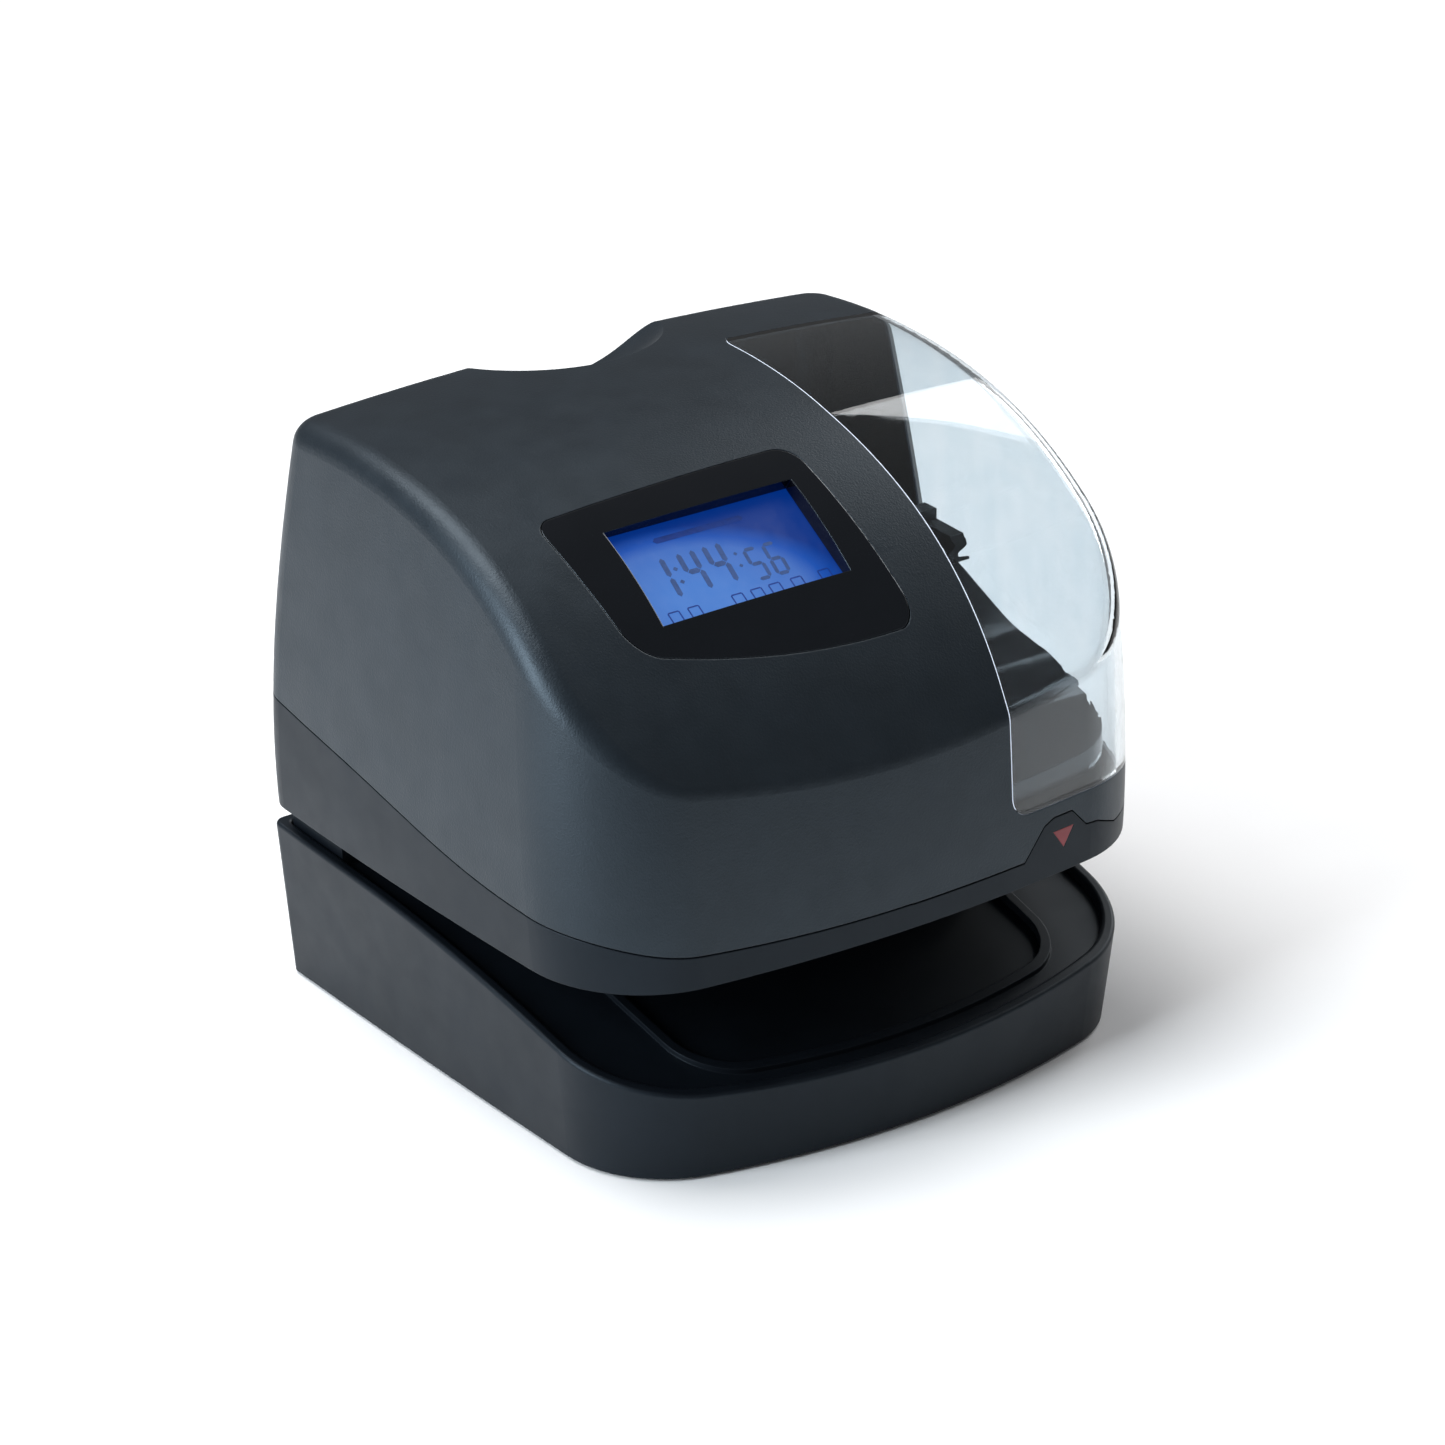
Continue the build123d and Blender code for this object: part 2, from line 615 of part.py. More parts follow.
def make_lcd_frame():
    ring = display_block(LCD_SIZE[0] + 9.0, LCD_SIZE[1] + 9.0, -6.2, -0.2)
    return ring - display_block(LCD_SIZE[0] + 4.2, LCD_SIZE[1] + 4.2, -4.2, 5) \
        - display_block(LCD_SIZE[0] - 2, LCD_SIZE[1] - 2, -8, 5)


def make_backlight():
    return display_block(LCD_SIZE[0] + 3.8, LCD_SIZE[1] + 3.8, -4.1, -2.7)


def make_display_board():
    return display_block(LCD_SIZE[0] + 16.0, LCD_SIZE[1] + 12.0, -7.8, -6.2)


def make_display_bracket():
    """Two cheeks that carry the display board above the chassis."""
    x, y, z = DISPLAY_CENTRE
    half = LCD_SIZE[0] / 2 + 3.0
    cheeks = []
    for middle in (x - half, x + half):
        cheek = block((middle - 1.0, middle + 1.0), (y - 8, y + 10), (CHASSIS_TOP, 140))
        foot = block((middle - 4.0, middle + 4.0), (y - 8, y + 10), (CHASSIS_TOP, CHASSIS_TOP + 1.5))
        cheeks.append(cheek + foot)
    above = display_block(120, 90, -7.8, 40)
    return [cheek - above for cheek in cheeks]


BOARD_Z = 62.0


def make_control_board():
    board = block((-72, -28), (-9, 44), (BOARD_Z, BOARD_Z + 1.6))
    return fillet(board.edges().filter_by(Axis.Z), 2.0)


def make_board_pillars():
    places = [(-67, -3), (-67, 35), (-32, -3), (-32, 35)]
    return [rod(2.5, (x, y, CHASSIS_TOP), BOARD_Z - CHASSIS_TOP) for x, y in places]


def make_transformer():
    core = block((-24, 0), (6, 40), (CHASSIS_TOP, 84))
    winding = block((-27, 3), (12, 34), (61, 79))
    return core + winding


def make_backup_battery():
    cell = rod(5.2, (-66, 36, BOARD_Z + 1.6 + 5.2), 26, "x")
    return fillet(cell.edges(), 0.8)


def make_buzzer():
    can = rod(6.0, (-37, 12, BOARD_Z + 1.6), 8.5)
    return can - rod(1.2, (-37, 12, BOARD_Z + 8), 5)


def make_connectors():
    places = [(-58, 12), (-58, 22)]
    sockets = []
    for x, y in places:
        body = block((x - 8, x + 8), (y - 3, y + 3), (BOARD_Z + 1.6, BOARD_Z + 8.6))
        sockets.append(body - block((x - 7, x + 7), (y - 2, y + 2), (BOARD_Z + 3, BOARD_Z + 9)))
    return sockets


BUTTON_PLACES = {"hour": -61.0, "minute": -51.0, "set": -41.0}
BUTTON_Y = -2.0
SWITCH_TOP = BOARD_Z + 1.6 + 4.0


def make_switch_bodies():
    switches = []
    for x in BUTTON_PLACES.values():
        body = block((x - 3, x + 3), (BUTTON_Y - 3, BUTTON_Y + 3), (BOARD_Z + 1.6, SWITCH_TOP))
        switches.append(body - rod(1.8, (x, BUTTON_Y, BOARD_Z + 3.0), 10))
    return switches


def make_button(x):
    stem = rod(1.75, (x, BUTTON_Y, SWITCH_TOP - 1.6), 6)
    cap = rod(3.6, (x, BUTTON_Y, SWITCH_TOP + 1.4), 4.0)
    return stem + fillet(cap.edges().sort_by(Axis.Z)[-1], 0.8)


# ---------------------------------------------------------------- lock, inlet, card lever
def make_lock_housing():
    sleeve = rod(8.0, (0, 52, LOCK_Z), 19.8, "y") + rod(10.0, (0, 70.7, LOCK_Z), 1.2, "y")
    nut = Pos(0, 66.4, LOCK_Z) * Rot(90, 0, 0) * extrude(RegularPolygon(10.5, 6), 3.2)
    return sleeve + nut - rod(LOCK_RADIUS + RUNNING_FIT, (0, 40, LOCK_Z), 40, "y")


def make_lock_cylinder():
    plug = rod(LOCK_RADIUS, (0, 50.2, LOCK_Z), 21.4, "y")
    keyway = block((-0.9, 0.9), (65.5, 80), (LOCK_Z - 3.6, LOCK_Z + 3.6))
    return plug - keyway


def make_lock_cam():
    arm = block((-3.2, 3.2), (48.2, 50.2), (LOCK_Z - 20, LOCK_Z + 3.2))
    return fillet(arm.edges().filter_by(Axis.Y), 3.0)


def make_power_inlet():
    body = block((-57, -43), (60, 71.8), (54, 66))
    collar = rod(4.6, (-50, 71.8, 60), 0.9, "y")
    jack = body + collar
    jack -= rod(2.8, (-50, 63, 60), 20, "y")
    return jack + rod(1.0, (-50, 62.5, 60), 8.5, "y")


def make_lever_holder():
    y, z = LEVER_PIVOT
    ears = [block((40.2, 41.9), (y - 3, y + 3), (FLOOR, z + 3)), block((48.1, 49.8), (y - 3, y + 3), (FLOOR, z + 3))]
    tie = block((40.2, 49.8), (y + 12.2, y + 14), (FLOOR, FLOOR + 2.5))
    sides = [block((40.2, 41.9), (y - 3, y + 14), (FLOOR, FLOOR + 1.5)),
             block((48.1, 49.8), (y - 3, y + 14), (FLOOR, FLOOR + 1.5))]
    holder = ears[0] + ears[1] + tie + sides[0] + sides[1]
    return holder - rod(1.0, (30, y, z), 30, "x")


def make_lever_pin():
    y, z = LEVER_PIVOT
    return rod(1.0, (40.0, y, z), 10, "x")


def make_card_lever():
    y, z = LEVER_PIVOT
    boss = rod(2.4, (43.0, y, z), 4, "x")
    arm = yz_prism([(y - 2, z), (y - 4.6, 45.6), (y - 3.2, 44.4), (y - 1.8, 45.6), (y + 2, z)], (43, 47))
    return boss + arm - rod(1.0 + RUNNING_FIT, (30, y, z), 30, "x")


# ---------------------------------------------------------------- output
def write(node, shape):
    """One STEP file per node. A list is a group of separate solids in one node."""
    if isinstance(shape, (list, tuple)):
        shape = Compound(children=list(shape))
    shape.label = node
    export_step(shape, f"parts/{node}.step")


def main():
    os.makedirs("parts", exist_ok=True)
    makers = {
        "base_shell": make_base_shell, "base_plate": make_base_plate, "rubber_feet": make_rubber_feet,
        "base_screws": make_base_screws, "card_table": make_card_table, "platen_pad": make_platen_pad,
        "card_stop": make_card_stop, "neck_column": make_neck_column, "neck_bracket": make_neck_bracket,
        "upper_cover": make_upper_cover, "clear_side_cover": make_clear_side_cover,
        "display_bezel": make_display_bezel, "lower_skirt": make_lower_skirt,
        "position_mark": make_position_mark, "chassis_plate": make_chassis_plate,
        "chassis_screws": make_chassis_screws, "lock_keeper": make_lock_keeper,
        "printer_frame": make_printer_frame, "guide_shafts": make_guide_shafts,
        "print_carriage": make_print_carriage, "print_head": make_print_head, "drive_belt": make_drive_belt,
        "motor_pulley": make_motor_pulley, "idler_pulley": make_idler_pulley, "idler_pin": make_idler_pin,
        "carriage_motor": make_carriage_motor, "cassette_lid": make_cassette_lid,
        "cassette_case": make_cassette_case, "ribbon_knob": make_ribbon_knob,
        "pinch_roller": make_pinch_roller, "ribbon_band": make_ribbon_band,
        "cassette_latch": make_cassette_latch, "lcd_panel": make_lcd_panel, "lcd_frame": make_lcd_frame,
        "backlight": make_backlight, "display_board": make_display_board,
        "display_bracket": make_display_bracket, "control_board": make_control_board,
        "board_pillars": make_board_pillars, "transformer": make_transformer,
        "backup_battery": make_backup_battery, "buzzer": make_buzzer, "connectors": make_connectors,
        "switch_bodies": make_switch_bodies, "lock_housing": make_lock_housing,
        "lock_cylinder": make_lock_cylinder, "lock_cam": make_lock_cam, "power_inlet": make_power_inlet,
        "lever_holder": make_lever_holder, "lever_pin": make_lever_pin, "card_lever": make_card_lever,
    }
    for node, make in makers.items():
        write(node, make())
    for name, x in BUTTON_PLACES.items():
        write(f"{name}_button", make_button(x))


main()
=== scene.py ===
"""Looks for the desktop punch time clock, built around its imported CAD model.

Metres, +Z up, the front at -Y. MM is one millimetre, and names that end in _MM count millimetres.
"""

import json
import math

import bmesh
import bpy
from mathutils import Matrix, Vector


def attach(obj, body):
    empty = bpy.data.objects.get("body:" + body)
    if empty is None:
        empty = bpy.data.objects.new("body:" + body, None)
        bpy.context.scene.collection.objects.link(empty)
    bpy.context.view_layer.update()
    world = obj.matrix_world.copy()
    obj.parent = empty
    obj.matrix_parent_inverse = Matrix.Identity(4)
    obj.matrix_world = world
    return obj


MM = 0.001

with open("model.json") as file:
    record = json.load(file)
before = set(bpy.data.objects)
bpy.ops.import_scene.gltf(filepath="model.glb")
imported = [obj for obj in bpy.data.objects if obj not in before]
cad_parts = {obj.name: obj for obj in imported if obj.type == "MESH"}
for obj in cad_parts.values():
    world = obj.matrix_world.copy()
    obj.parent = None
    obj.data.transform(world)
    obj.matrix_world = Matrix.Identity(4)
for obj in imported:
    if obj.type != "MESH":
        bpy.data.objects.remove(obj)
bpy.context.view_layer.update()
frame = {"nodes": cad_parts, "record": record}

# ---------------------------------------------------------------- camera
CAMERA_PLACE = (-0.668504, -0.898247, 0.58074)
CAMERA_TURN_DEGREES = (65.6112, -0.1933, -36.5489)
CAMERA_LENS_MM = 133.077

# ---------------------------------------------------------------- the display's plane, and what shows on it
DISPLAY_CENTRE = (-19.4 * MM, -25.6 * MM, 127.0 * MM)
DISPLAY_TILT = math.radians(32.0)
LCD_WIDTH_MM = 49.6
LCD_HEIGHT_MM = 25.2
# The ellipse of the light guide's glow; its rim along the display's top and right is painted shadow of the
# recess walls.
GLOW_CENTRE = (-10.0 * MM, -8.0 * MM, 0)
GLOW_TURN = math.radians(-8)
GLOW_RADII = (37 * MM, 20 * MM, 1.0)
MARK_LIFT_MM = 0.03
MARK_THICKNESS_MM = 0.03
DIGIT_SLANT = 0.07

# ---------------------------------------------------------------- surfaces
SLATE_SHEEN = (0.70, 0.86, 1.0, 1.0)
EDGE_SOFTNESS_MM = 0.35
EDGE_SAMPLES = 6
NOISE_LOW = 0.3
NOISE_HIGH = 0.7

# The clear cover's cut edges, which carry a painted glow, lie left of, below and behind these places
CUT_LEFT_OF_MM = 38.0
CUT_BELOW_MM = 72.0
CUT_BEHIND_MM = 18.0


def make_camera():
    """A long lens from the front left and above."""
    data = bpy.data.cameras.new("camera")
    data.sensor_width = 36.0
    data.lens = CAMERA_LENS_MM
    data.clip_start = 0.05
    data.clip_end = 20.0
    camera = bpy.data.objects.new("camera", data)
    camera.location = CAMERA_PLACE
    camera.rotation_euler = [math.radians(angle) for angle in CAMERA_TURN_DEGREES]
    bpy.context.scene.collection.objects.link(camera)
    bpy.context.scene.camera = camera


# ---------------------------------------------------------------- node helpers
def new_material(name):
    material = bpy.data.materials.new(name)
    material.use_nodes = True
    tree = material.node_tree
    return material, tree, tree.nodes["Principled BSDF"]


def object_coordinates(tree):
    return tree.nodes.new("ShaderNodeTexCoord").outputs["Object"]


def noise(tree, size_mm, detail=3.0, stretch=(1.0, 1.0, 1.0), roughness=0.5):
    """Noise whose features are about size_mm across. A stretch above 1 makes them longer on that axis."""
    mapping = tree.nodes.new("ShaderNodeMapping")
    mapping.inputs["Scale"].default_value = [1.0 / value for value in stretch]
    tree.links.new(object_coordinates(tree), mapping.inputs["Vector"])
    texture = tree.nodes.new("ShaderNodeTexNoise")
    texture.inputs["Scale"].default_value = 1.0 / (size_mm * MM)
    texture.inputs["Detail"].default_value = detail
    texture.inputs["Roughness"].default_value = roughness
    tree.links.new(mapping.outputs["Vector"], texture.inputs["Vector"])
    return texture.outputs["Fac"]


def ramp(tree, factor, stops):
    node = tree.nodes.new("ShaderNodeValToRGB")
    elements = node.color_ramp.elements
    while len(elements) < len(stops):
        elements.new(0.5)
    for element, (position, colour) in zip(elements, stops):
        element.position = position
        element.color = (*colour, 1.0)
    tree.links.new(factor, node.inputs["Fac"])
    return node.outputs["Color"]


def to_range(tree, factor, low, high):
    """Stretches a noise over a range of values."""
    node = tree.nodes.new("ShaderNodeMapRange")
    node.inputs["From Min"].default_value = NOISE_LOW
    node.inputs["From Max"].default_value = NOISE_HIGH
    node.inputs["To Min"].default_value = low
    node.inputs["To Max"].default_value = high
    tree.links.new(factor, node.inputs["Value"])
    return node.outputs["Result"]


def add_bump(tree, shader, height, depth_mm, strength=1.0):
    node = tree.nodes.new("ShaderNodeBump")
    node.inputs["Distance"].default_value = depth_mm * MM
    node.inputs["Strength"].default_value = strength
    tree.links.new(height, node.inputs["Height"])
    previous = shader.inputs["Normal"]
    if previous.is_linked:
        tree.links.new(previous.links[0].from_socket, node.inputs["Normal"])
    tree.links.new(node.outputs["Normal"], shader.inputs["Normal"])


def soften_edges(tree, shader, radius_mm):
    """Lets the edges catch the light as if they were rounded. It goes before any bump."""
    node = tree.nodes.new("ShaderNodeBevel")
    node.samples = EDGE_SAMPLES
    node.inputs["Radius"].default_value = radius_mm * MM
    tree.links.new(node.outputs["Normal"], shader.inputs["Normal"])


def shade(colour, factor):
    return [min(1.0, value * factor) for value in colour]


def moulded(name, colour, roughness, grain_mm, depth_mm, change=0.15, specular=0.5, cloud_mm=14.0):
    """Moulded plastic or rubber: a fine grain in relief, and slow changes of tone and gloss."""
    material, tree, shader = new_material(name)
    cloud = noise(tree, cloud_mm, 4.0)
    tones = [(NOISE_LOW, shade(colour, 1.0 - change)), (NOISE_HIGH, shade(colour, 1.0 + change))]
    tone = ramp(tree, cloud, tones)
    tree.links.new(tone, shader.inputs["Base Color"])
    gloss = to_range(tree, noise(tree, cloud_mm * 0.6, 5.0), roughness * 0.92, roughness * 1.08)
    tree.links.new(gloss, shader.inputs["Roughness"])
    shader.inputs["Specular IOR Level"].default_value = specular
    shader.inputs["Specular Tint"].default_value = SLATE_SHEEN
    soften_edges(tree, shader, EDGE_SOFTNESS_MM)
    add_bump(tree, shader, noise(tree, grain_mm, 2.0), depth_mm)
    return material


def metal(name, colour, roughness, stretch=(1.0, 1.0, 1.0), grain_mm=0.4, depth_mm=0.004):
    """Plated or brushed metal, with its brush marks along the stretched axis."""
    material, tree, shader = new_material(name)
    shader.inputs["Metallic"].default_value = 1.0
    streaks = noise(tree, grain_mm, 3.0, stretch)
    tone = ramp(tree, streaks, [(NOISE_LOW, shade(colour, 0.9)), (NOISE_HIGH, shade(colour, 1.08))])
    tree.links.new(tone, shader.inputs["Base Color"])
    gloss = to_range(tree, noise(tree, 9.0, 4.0), roughness * 0.85, roughness * 1.2)
    tree.links.new(gloss, shader.inputs["Roughness"])
    add_bump(tree, shader, streaks, depth_mm)
    return material


# ---------------------------------------------------------------- materials
def compare(tree, value, operation, limit):
    """1 where a value is above or below a limit, and 0 elsewhere."""
    node = tree.nodes.new("ShaderNodeMath")
    node.operation = operation
    tree.links.new(value, node.inputs[0])
    node.inputs[1].default_value = limit
    return node.outputs[0]


def both(tree, first, second, operation="MULTIPLY"):
    """Joins two masks: their overlap, or with MAXIMUM either one."""
    node = tree.nodes.new("ShaderNodeMath")
    node.operation = operation
    tree.links.new(first, node.inputs[0])
    tree.links.new(second, node.inputs[1])
    return node.outputs[0]


def cut_edge_mask(tree):
    """1 on the clear cover's left, rear and bottom cut edges, which face away from its dome. There the cover
    is rough and carries a painted glow.
    """
    coordinates = tree.nodes.new("ShaderNodeTexCoord")
    place = tree.nodes.new("ShaderNodeSeparateXYZ")
    tree.links.new(coordinates.outputs["Object"], place.inputs["Vector"])
    facing = tree.nodes.new("ShaderNodeSeparateXYZ")
    tree.links.new(coordinates.outputs["Normal"], facing.inputs["Vector"])
    left_side = compare(tree, place.outputs["X"], "LESS_THAN", CUT_LEFT_OF_MM * MM)
    left = both(tree, left_side, compare(tree, facing.outputs["X"], "LESS_THAN", -0.8))
    low = compare(tree, place.outputs["Z"], "LESS_THAN", CUT_BELOW_MM * MM)
    bottom = both(tree, low, compare(tree, facing.outputs["Z"], "LESS_THAN", -0.8))
    behind = compare(tree, place.outputs["Y"], "GREATER_THAN", CUT_BEHIND_MM * MM)
    rear = both(tree, behind, compare(tree, facing.outputs["Y"], "GREATER_THAN", 0.9))
    return both(tree, both(tree, left, bottom, "MAXIMUM"), rear, "MAXIMUM")


def clear_plastic():
    """Clear polycarbonate with a grey-blue tint, cloudy streaks, and matt, rough cut edges that carry a
    painted glow: they emit a light of their own in place of the light they catch.
    """
    material, tree, shader = new_material("clear_plastic")
    shader.inputs["Transmission Weight"].default_value = 1.0
    shader.inputs["IOR"].default_value = 1.46
    streaks = noise(tree, 5.0, 4.0, (1.0, 1.0, 6.0))
    tone = ramp(tree, streaks, [(0.35, (0.76, 0.825, 0.86)), (0.7, (0.82, 0.865, 0.89))])
    tree.links.new(tone, shader.inputs["Base Color"])
    tree.links.new(to_range(tree, streaks, 0.0, 0.03), shader.inputs["Roughness"])
    frosted_painted_glow = tree.nodes.new("ShaderNodeBsdfPrincipled")
    frosted_painted_glow.inputs["Base Color"].default_value = (0.72, 0.79, 0.90, 1.0)
    # Painted highlight: the cut edges emit a pale blue light of their own.
    frosted_painted_glow.inputs["Emission Color"].default_value = (0.72, 0.79, 0.92, 1.0)
    frosted_painted_glow.inputs["Emission Strength"].default_value = 1.1
    tree.links.new(to_range(tree, streaks, 0.3, 0.5), frosted_painted_glow.inputs["Roughness"])
    mix = tree.nodes.new("ShaderNodeMixShader")
    tree.links.new(cut_edge_mask(tree), mix.inputs["Fac"])
    tree.links.new(shader.outputs["BSDF"], mix.inputs[1])
    tree.links.new(frosted_painted_glow.outputs["BSDF"], mix.inputs[2])
    output = tree.nodes["Material Output"]
    tree.links.new(mix.outputs["Shader"], output.inputs["Surface"])
    return material


def display_blue():
    """The backlit face of the display: pale where the light guide shines, deep blue at the top and right,
    where a painted shadow of the recess walls darkens it.
    """
    material, tree, shader = new_material("display_blue")
    mapping = tree.nodes.new("ShaderNodeMapping")
    mapping.vector_type = "TEXTURE"
    mapping.inputs["Location"].default_value = DISPLAY_CENTRE
    mapping.inputs["Rotation"].default_value = (DISPLAY_TILT, 0, 0)
    tree.links.new(object_coordinates(tree), mapping.inputs["Vector"])
    spot = tree.nodes.new("ShaderNodeMapping")
    spot.vector_type = "TEXTURE"
    spot.inputs["Location"].default_value = GLOW_CENTRE
    spot.inputs["Rotation"].default_value = (0, 0, GLOW_TURN)
    spot.inputs["Scale"].default_value = GLOW_RADII
    tree.links.new(mapping.outputs["Vector"], spot.inputs["Vector"])
    glow = tree.nodes.new("ShaderNodeTexGradient")
    glow.gradient_type = "SPHERICAL"
    tree.links.new(spot.outputs["Vector"], glow.inputs["Vector"])
    # The ellipse's dark rim along the top and right is painted shadow of the recess walls; its pale middle is
    # the light guide's glow.
    stops = [(0.0, (0.0, 0.025, 0.20)), (0.16, (0.001, 0.065, 0.38)), (0.3, (0.045, 0.14, 0.47)),
             (0.8, (0.06, 0.19, 0.56))]
    colour = ramp(tree, glow.outputs["Fac"], stops)
    tree.links.new(colour, shader.inputs["Emission Color"])
    shader.inputs["Base Color"].default_value = (0.004, 0.010, 0.035, 1.0)
    shader.inputs["Emission Strength"].default_value = 1.0
    tree.links.new(to_range(tree, noise(tree, 3.0), 0.28, 0.4), shader.inputs["Roughness"])
    return material


def make_materials():
    clear = clear_plastic()
    return {
        "textured_black": moulded("textured_black", (0.0045, 0.0070, 0.0100), 0.44, 0.5, 0.06, specular=0.5),
        "satin_black": moulded("satin_black", (0.0042, 0.0058, 0.0085), 0.44, 0.3, 0.008, specular=0.24),
        "gloss_black": moulded("gloss_black", (0.003, 0.003, 0.004), 0.06, 3.0, 0.004),
        "clear_plastic": clear,
        "lcd_blue": display_blue(),
        "white_diffuser": moulded("white_diffuser", (0.8, 0.83, 0.88), 0.4, 1.0, 0.004, 0.04),
        "red_mark": moulded("red_mark", (0.27, 0.035, 0.035), 0.45, 0.4, 0.01),
        "smoked_plastic": moulded("smoked_plastic", (0.014, 0.015, 0.018), 0.13, 6.0, 0.05),
        "inner_black": moulded("inner_black", (0.015, 0.015, 0.017), 0.5, 0.4, 0.01),
        "zinc_steel": metal("zinc_steel", (0.55, 0.57, 0.58), 0.34),
        "bright_steel": metal("bright_steel", (0.68, 0.68, 0.69), 0.2, (8.0, 1.0, 1.0)),
        "chrome_lock": metal("chrome_lock", (0.75, 0.75, 0.76), 0.12),
        "motor_steel": metal("motor_steel", (0.42, 0.43, 0.44), 0.32, (1.0, 10.0, 1.0)),
        "head_aluminium": metal("head_aluminium", (0.56, 0.57, 0.59), 0.42),
        "belt_rubber": moulded("belt_rubber", (0.02, 0.02, 0.02), 0.7, 0.5, 0.03),
        "rubber_black": moulded("rubber_black", (0.022, 0.022, 0.023), 0.75, 0.6, 0.03),
        "white_acetal": moulded("white_acetal", (0.72, 0.72, 0.68), 0.4, 0.8, 0.006, 0.05),
        "ribbon_fabric": moulded("ribbon_fabric", (0.02, 0.013, 0.04), 0.85, 0.25, 0.05),
        "circuit_green": moulded("circuit_green", (0.02, 0.13, 0.06), 0.25, 1.2, 0.02, 0.25, cloud_mm=2.5),
        "battery_sleeve": moulded("battery_sleeve", (0.06, 0.14, 0.35), 0.3, 1.5, 0.01),
        "component_black": moulded("component_black", (0.016, 0.016, 0.017), 0.5, 0.5, 0.02),
        "button_white": moulded("button_white", (0.68, 0.68, 0.65), 0.4, 0.8, 0.006, 0.05),
    }


def finish_nodes(materials):
    """Gives every CAD node the material of its slot in the record."""
    for part in frame["record"]["subparts"]:
        node = frame["nodes"][part["node"]]
        node.data.materials.clear()
        node.data.materials.append(materials[part["material_slot"]])


# ---------------------------------------------------------------- display digits
SEGMENTS = {
    "0": "abcdef", "1": "bc", "2": "abged", "3": "abgcd", "4": "fgbc",
    "5": "afgcd", "6": "afgedc", "7": "abc", "8": "abcdefg", "9": "abcdfg",
}


def display_point(x, y, lift):
    """A point on the display from millimetres right of and below its top left corner."""
    local = Vector(((x - LCD_WIDTH_MM / 2) * MM, (LCD_HEIGHT_MM / 2 - y) * MM, lift * MM))
    return Vector(DISPLAY_CENTRE) + Matrix.Rotation(DISPLAY_TILT, 3, "X") @ local


def add_bar(mesh, start, end, width):
    """A flat bar with pointed ends between two points of the display."""
    (x0, y0), (x1, y1) = start, end
    length = math.hypot(x1 - x0, y1 - y0)
    along = ((x1 - x0) / length, (y1 - y0) / length)
    half = width / 2
    outline = []
    near, far = half, length - half
    corners = ((0, 0), (near, half), (far, half), (length, 0), (far, -half), (near, -half))
    for forward, side in corners:
        outline.append((x0 + along[0] * forward - along[1] * side, y0 + along[1] * forward + along[0] * side))
    low = [mesh.verts.new(display_point(x, y, MARK_LIFT_MM)) for x, y in outline]
    high = [mesh.verts.new(display_point(x, y, MARK_LIFT_MM + MARK_THICKNESS_MM)) for x, y in outline]
    mesh.faces.new(high)
    mesh.faces.new(low[::-1])
    count = len(outline)
    for index in range(count):
        after = (index + 1) % count
        mesh.faces.new((low[index], low[after], high[after], high[index]))


def add_digit(mesh, digit, left, top, width, height, stroke):
    """A seven-segment digit that leans a little to the right."""
    def at(x, y):
        return (left + x * width + DIGIT_SLANT * (1.0 - y) * height, top + y * height)

    gap = stroke * 0.1
    ends = {
        "a": ((0, 0), (1, 0)), "b": ((1, 0), (1, 0.5)), "c": ((1, 0.5), (1, 1)), "d": ((0, 1), (1, 1)),
        "e": ((0, 0.5), (0, 1)), "f": ((0, 0), (0, 0.5)), "g": ((0, 0.5), (1, 0.5)),
    }
    for segment in SEGMENTS[digit]:
        (x0, y0), (x1, y1) = (at(*end) for end in ends[segment])
        length = math.hypot(x1 - x0, y1 - y0)
        step = ((x1 - x0) / length * gap, (y1 - y0) / length * gap)
        add_bar(mesh, (x0 + step[0], y0 + step[1]), (x1 - step[0], y1 - step[1]), stroke)


def finish_piece(mesh, name, material, body):
    bmesh.ops.recalc_face_normals(mesh, faces=mesh.faces)
    data = bpy.data.meshes.new(name)
    mesh.to_mesh(data)
    mesh.free()
    data.materials.append(material)
    piece = bpy.data.objects.new(name, data)
    bpy.context.scene.collection.objects.link(piece)
    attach(piece, body)
    return piece


def make_time_digits(material):
    """The hours and minutes in large digits, the seconds in smaller ones, and the dots between them."""
    mesh = bmesh.new()
    for digit, left in (("1", 6.0), ("4", 14.2), ("4", 21.2)):
        add_digit(mesh, digit, left, top=7.8, width=3.6, height=11.0, stroke=1.35)
    for digit, left in (("5", 30.2), ("6", 35.4)):
        add_digit(mesh, digit, left, top=11.7, width=3.0, height=8.2, stroke=0.95)
    for x, y, size in ((12.3, 11.5, 1.1), (12.0, 15.1, 1.1), (28.4, 11.9, 0.9), (28.0, 15.2, 0.9)):
        add_bar(mesh, (x - size * 0.6, y), (x + size * 0.6, y), size)
    return finish_piece(mesh, "display_time", material, "frame")


def make_display_marks(material):
    """The bar over the time, and the faint row of empty digits at the foot of the display."""
    mesh = bmesh.new()
    add_bar(mesh, (11.2, 3.3), (35.8, 3.3), 1.5)
    top, width, height = 21.9, 2.9, 5.2
    stroke = 0.35
    for left in (3.8, 9.1, 21.0, 26.2, 31.2, 37.2, 44.8):
        corners = [(left, top), (left + width, top), (left + width, top + height), (left, top + height)]
        for start, end in zip(corners, corners[1:] + corners[:1]):
            if max(start[1], end[1]) < LCD_HEIGHT_MM:
                add_bar(mesh, start, end, stroke)
            elif start[0] == end[0]:
                add_bar(mesh, (start[0], top), (start[0], LCD_HEIGHT_MM - 0.1), stroke)
    return finish_piece(mesh, "display_marks", material, "frame")


def segment_material(name, colour, strength):
    material, tree, shader = new_material(name)
    tones = [(NOISE_LOW, shade(colour, 0.85)), (NOISE_HIGH, shade(colour, 1.15))]
    tone = ramp(tree, noise(tree, 1.6, 3.0), tones)
    tree.links.new(tone, shader.inputs["Base Color"])
    tree.links.new(tone, shader.inputs["Emission Color"])
    shader.inputs["Emission Strength"].default_value = strength
    shader.inputs["Roughness"].default_value = 0.35
    return material


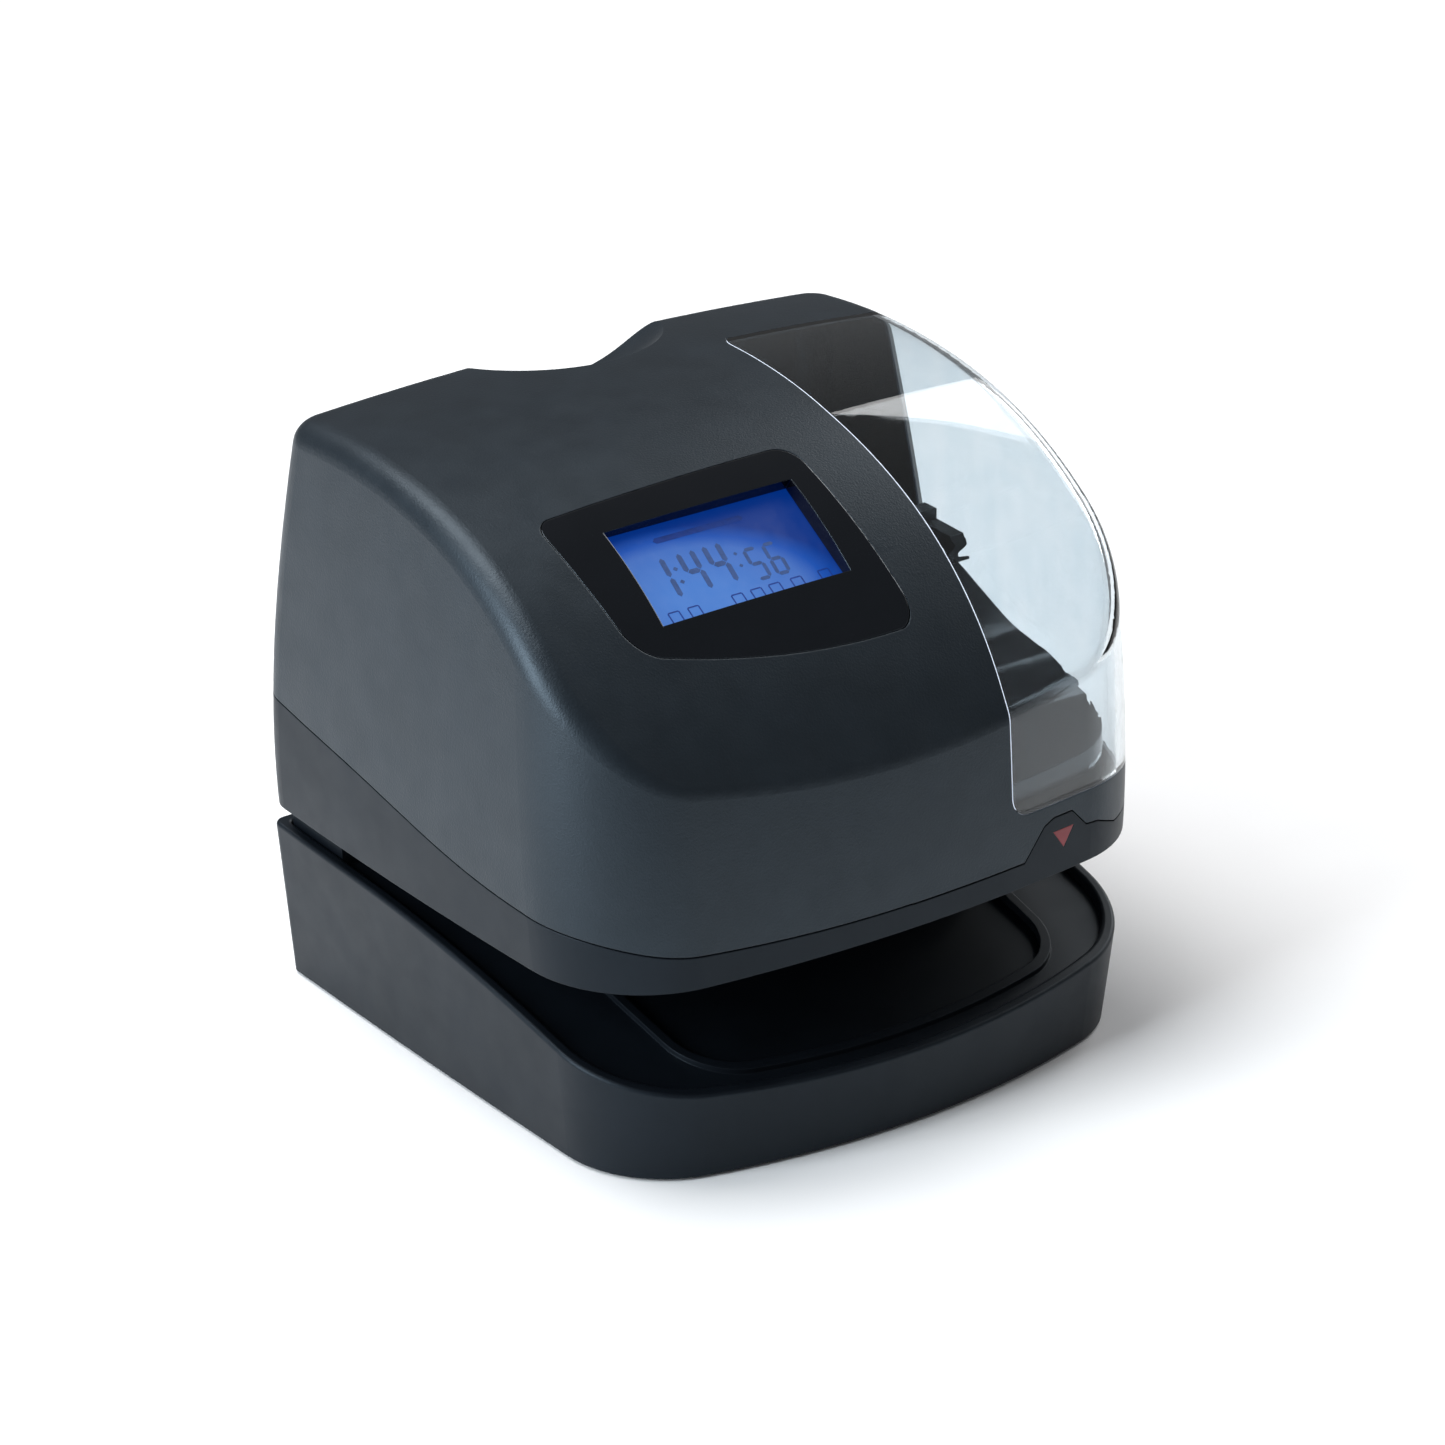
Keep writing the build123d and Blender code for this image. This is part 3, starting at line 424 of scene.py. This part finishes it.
# ---------------------------------------------------------------- floor and light
def make_floor():
    mesh = bmesh.new()
    bmesh.ops.create_grid(mesh, x_segments=2, y_segments=2, size=6.0)
    data = bpy.data.meshes.new("floor")
    mesh.to_mesh(data)
    mesh.free()
    material, tree, shader = new_material("floor_cloth")
    tones = [(NOISE_LOW, (0.86, 0.86, 0.87)), (NOISE_HIGH, (0.93, 0.93, 0.93))]
    tone = ramp(tree, noise(tree, 160.0, 3.0), tones)
    tree.links.new(tone, shader.inputs["Base Color"])
    shader.inputs["Roughness"].default_value = 0.8
    add_bump(tree, shader, noise(tree, 70.0, 2.0, (2.5, 1.0, 1.0)), 2.5)
    data.materials.append(material)
    floor = bpy.data.objects.new("floor", data)
    bpy.context.scene.collection.objects.link(floor)


def area_light(name, place, target, size, power, colour=(1.0, 1.0, 1.0)):
    data = bpy.data.lights.new(name, "AREA")
    data.shape = "RECTANGLE"
    data.size, data.size_y = size
    data.energy = power
    data.color = colour
    light = bpy.data.objects.new(name, data)
    light.location = place
    light.rotation_euler = (Vector(target) - Vector(place)).to_track_quat("-Z", "Y").to_euler()
    bpy.context.scene.collection.objects.link(light)


def make_lights():
    middle = (0, 0, 0.08)
    area_light("left_softbox", (-1.25, 0.03, 0.6), middle, (0.6, 0.9), 22.0, (0.86, 0.94, 1.0))
    area_light("top_softbox", (-0.35, 0.5, 1.6), middle, (1.0, 1.1), 27.0)
    area_light("right_fill", (1.3, 0.3, 0.8), middle, (0.9, 0.9), 9.0)
    world = bpy.data.worlds.new("studio")
    world.use_nodes = True
    sky = world.node_tree.nodes["Background"]
    sky.inputs["Color"].default_value = (0.95, 0.97, 1.0, 1.0)
    sky.inputs["Strength"].default_value = 0.2
    bpy.context.scene.world = world


def main():
    bpy.context.scene.view_settings.view_transform = "Standard"
    make_camera()
    make_floor()
    make_lights()
    finish_nodes(make_materials())
    make_time_digits(segment_material("digit_grey", (0.02, 0.045, 0.13), 0.7))
    make_display_marks(segment_material("mark_grey", (0.003, 0.02, 0.13), 0.7))


main()
